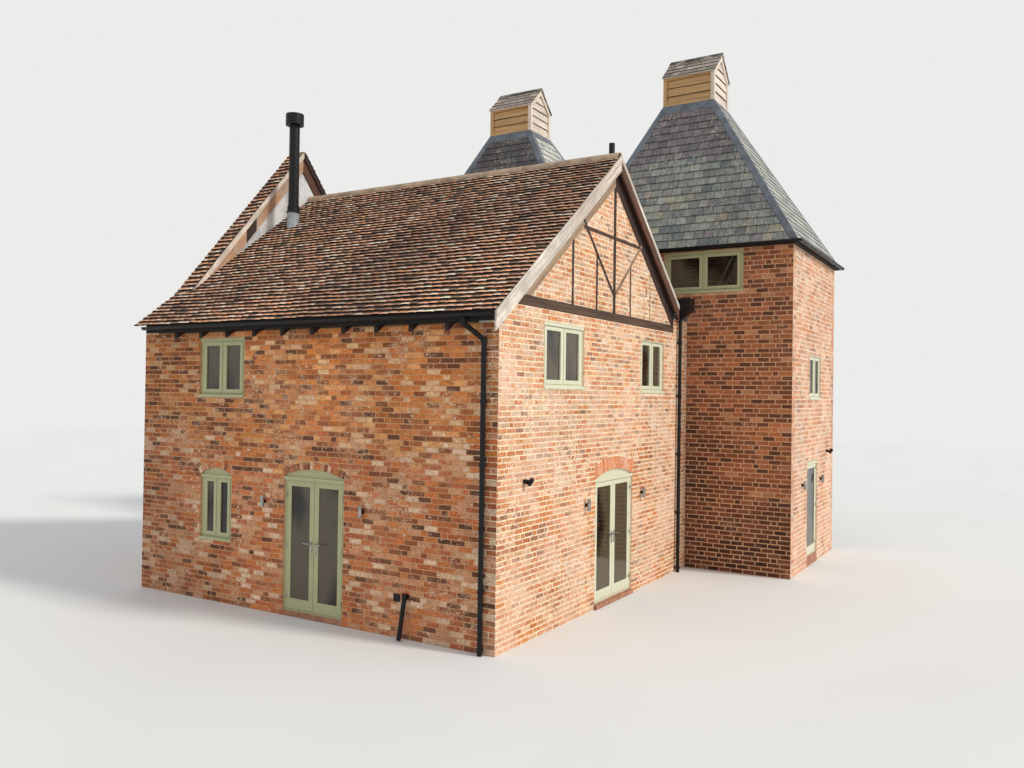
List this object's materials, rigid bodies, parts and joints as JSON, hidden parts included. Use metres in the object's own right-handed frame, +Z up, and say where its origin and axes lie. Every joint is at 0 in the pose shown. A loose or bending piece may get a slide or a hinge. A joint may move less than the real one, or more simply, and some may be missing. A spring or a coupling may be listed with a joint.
{
  "type": "oast house",
  "caption": "Gabled brick wing with a tiled roof, joined to a row of square hop kilns under steep slate roofs with louvred timber cowls; glazed doors swing.",
  "frame": {"origin": "middle of the wing's plan, on the underside of its ground floor", "axes": "+X out of the timbered gable, +Y from the wing towards the kilns, +Z up"},
  "size_m": [10.266, 12.25, 11.6987],
  "materials": {
    "brick": "worn orange-red clay brick in pale lime mortar",
    "concrete": "floated concrete",
    "floor_timber": "plain boards",
    "old_oak": "dark, dry old oak",
    "clay_tile": "weathered plain clay tiles with lichen",
    "weathered_board": "bleached grey softwood",
    "lead": "dull grey sheet lead",
    "slate": "riven green-grey slate",
    "new_oak": "new golden oak boards",
    "black_metal": "black gloss paint",
    "sage_paint": "sage green satin paint on timber",
    "glazing": "clear double glazing",
    "steel": "brushed stainless steel",
    "black_plastic": "black plastic pipe"
  },
  "bodies": {
    "house": {"ground_floor": "concrete", "upper_floors": "floor_timber", "front_wall_left": "brick", "front_wall_right": "brick", "front_wall_over_door": "brick", "gable_wall_left": "brick", "gable_wall_right": "brick", "gable_wall_over_door": "brick", "gable_infill": "brick", "gable_frame": "old_oak", "party_wall": "brick", "kiln_front_wall": "brick", "kiln_side_wall_front": "brick", "kiln_side_wall_rear": "brick", "kiln_side_wall_over_door": "brick", "kiln_rear_wall": "brick", "kiln_dividing_wall": "brick", "kiln_end_wall": "brick", "front_roof_slope": "clay_tile", "rear_roof_slope": "clay_tile", "ridge_tiles": "clay_tile", "rafters": "old_oak", "bargeboards": "weathered_board", "box_gutter": "lead", "right_kiln_roof": "slate", "left_kiln_roof": "slate", "lead_hips": "lead", "cowls": "new_oak", "cowl_boards": "new_oak", "cowl_roofs": "weathered_board", "gutters": "black_metal", "downpipes": "black_metal", "roof_pipes": "black_metal", "window_frames": "sage_paint", "window_glass": "glazing", "sills": "sage_paint", "door_steps": "clay_tile", "door_frames": "sage_paint", "wall_lights": "steel", "outlet_pipe": "black_plastic"},
    "front_door_left": {"front_door_left": "sage_paint", "front_door_left_glass": "glazing"},
    "front_door_right": {"front_door_right": "sage_paint", "front_door_right_glass": "glazing"},
    "gable_door_left": {"gable_door_left": "sage_paint", "gable_door_left_glass": "glazing"},
    "gable_door_right": {"gable_door_right": "sage_paint", "gable_door_right_glass": "glazing"},
    "kiln_door": {"kiln_door": "sage_paint", "kiln_door_glass": "glazing"}
  },
  "joints": [
    {"name": "front_door_left_hinge", "type": "hinge", "parent": "house", "child": "front_door_left", "pos_m": [-0.2005, -3.758, 0.1], "axis": [0, 0, -1], "range_deg": [0, 90]},
    {"name": "front_door_right_hinge", "type": "hinge", "parent": "house", "child": "front_door_right", "pos_m": [0.9945, -3.758, 0.1], "axis": [0, 0, 1], "range_deg": [0, 90]},
    {"name": "gable_door_left_hinge", "type": "hinge", "parent": "house", "child": "gable_door_left", "pos_m": [3.808, -0.5975, 0.1], "axis": [0, 0, -1], "range_deg": [0, 90]},
    {"name": "gable_door_right_hinge", "type": "hinge", "parent": "house", "child": "gable_door_right", "pos_m": [3.808, 0.8775, 0.1], "axis": [0, 0, 1], "range_deg": [0, 90]},
    {"name": "kiln_door_hinge", "type": "hinge", "parent": "house", "child": "kiln_door", "pos_m": [6.014, 6.16, 0.1], "axis": [0, 0, 1], "range_deg": [0, 90]}
  ]
}
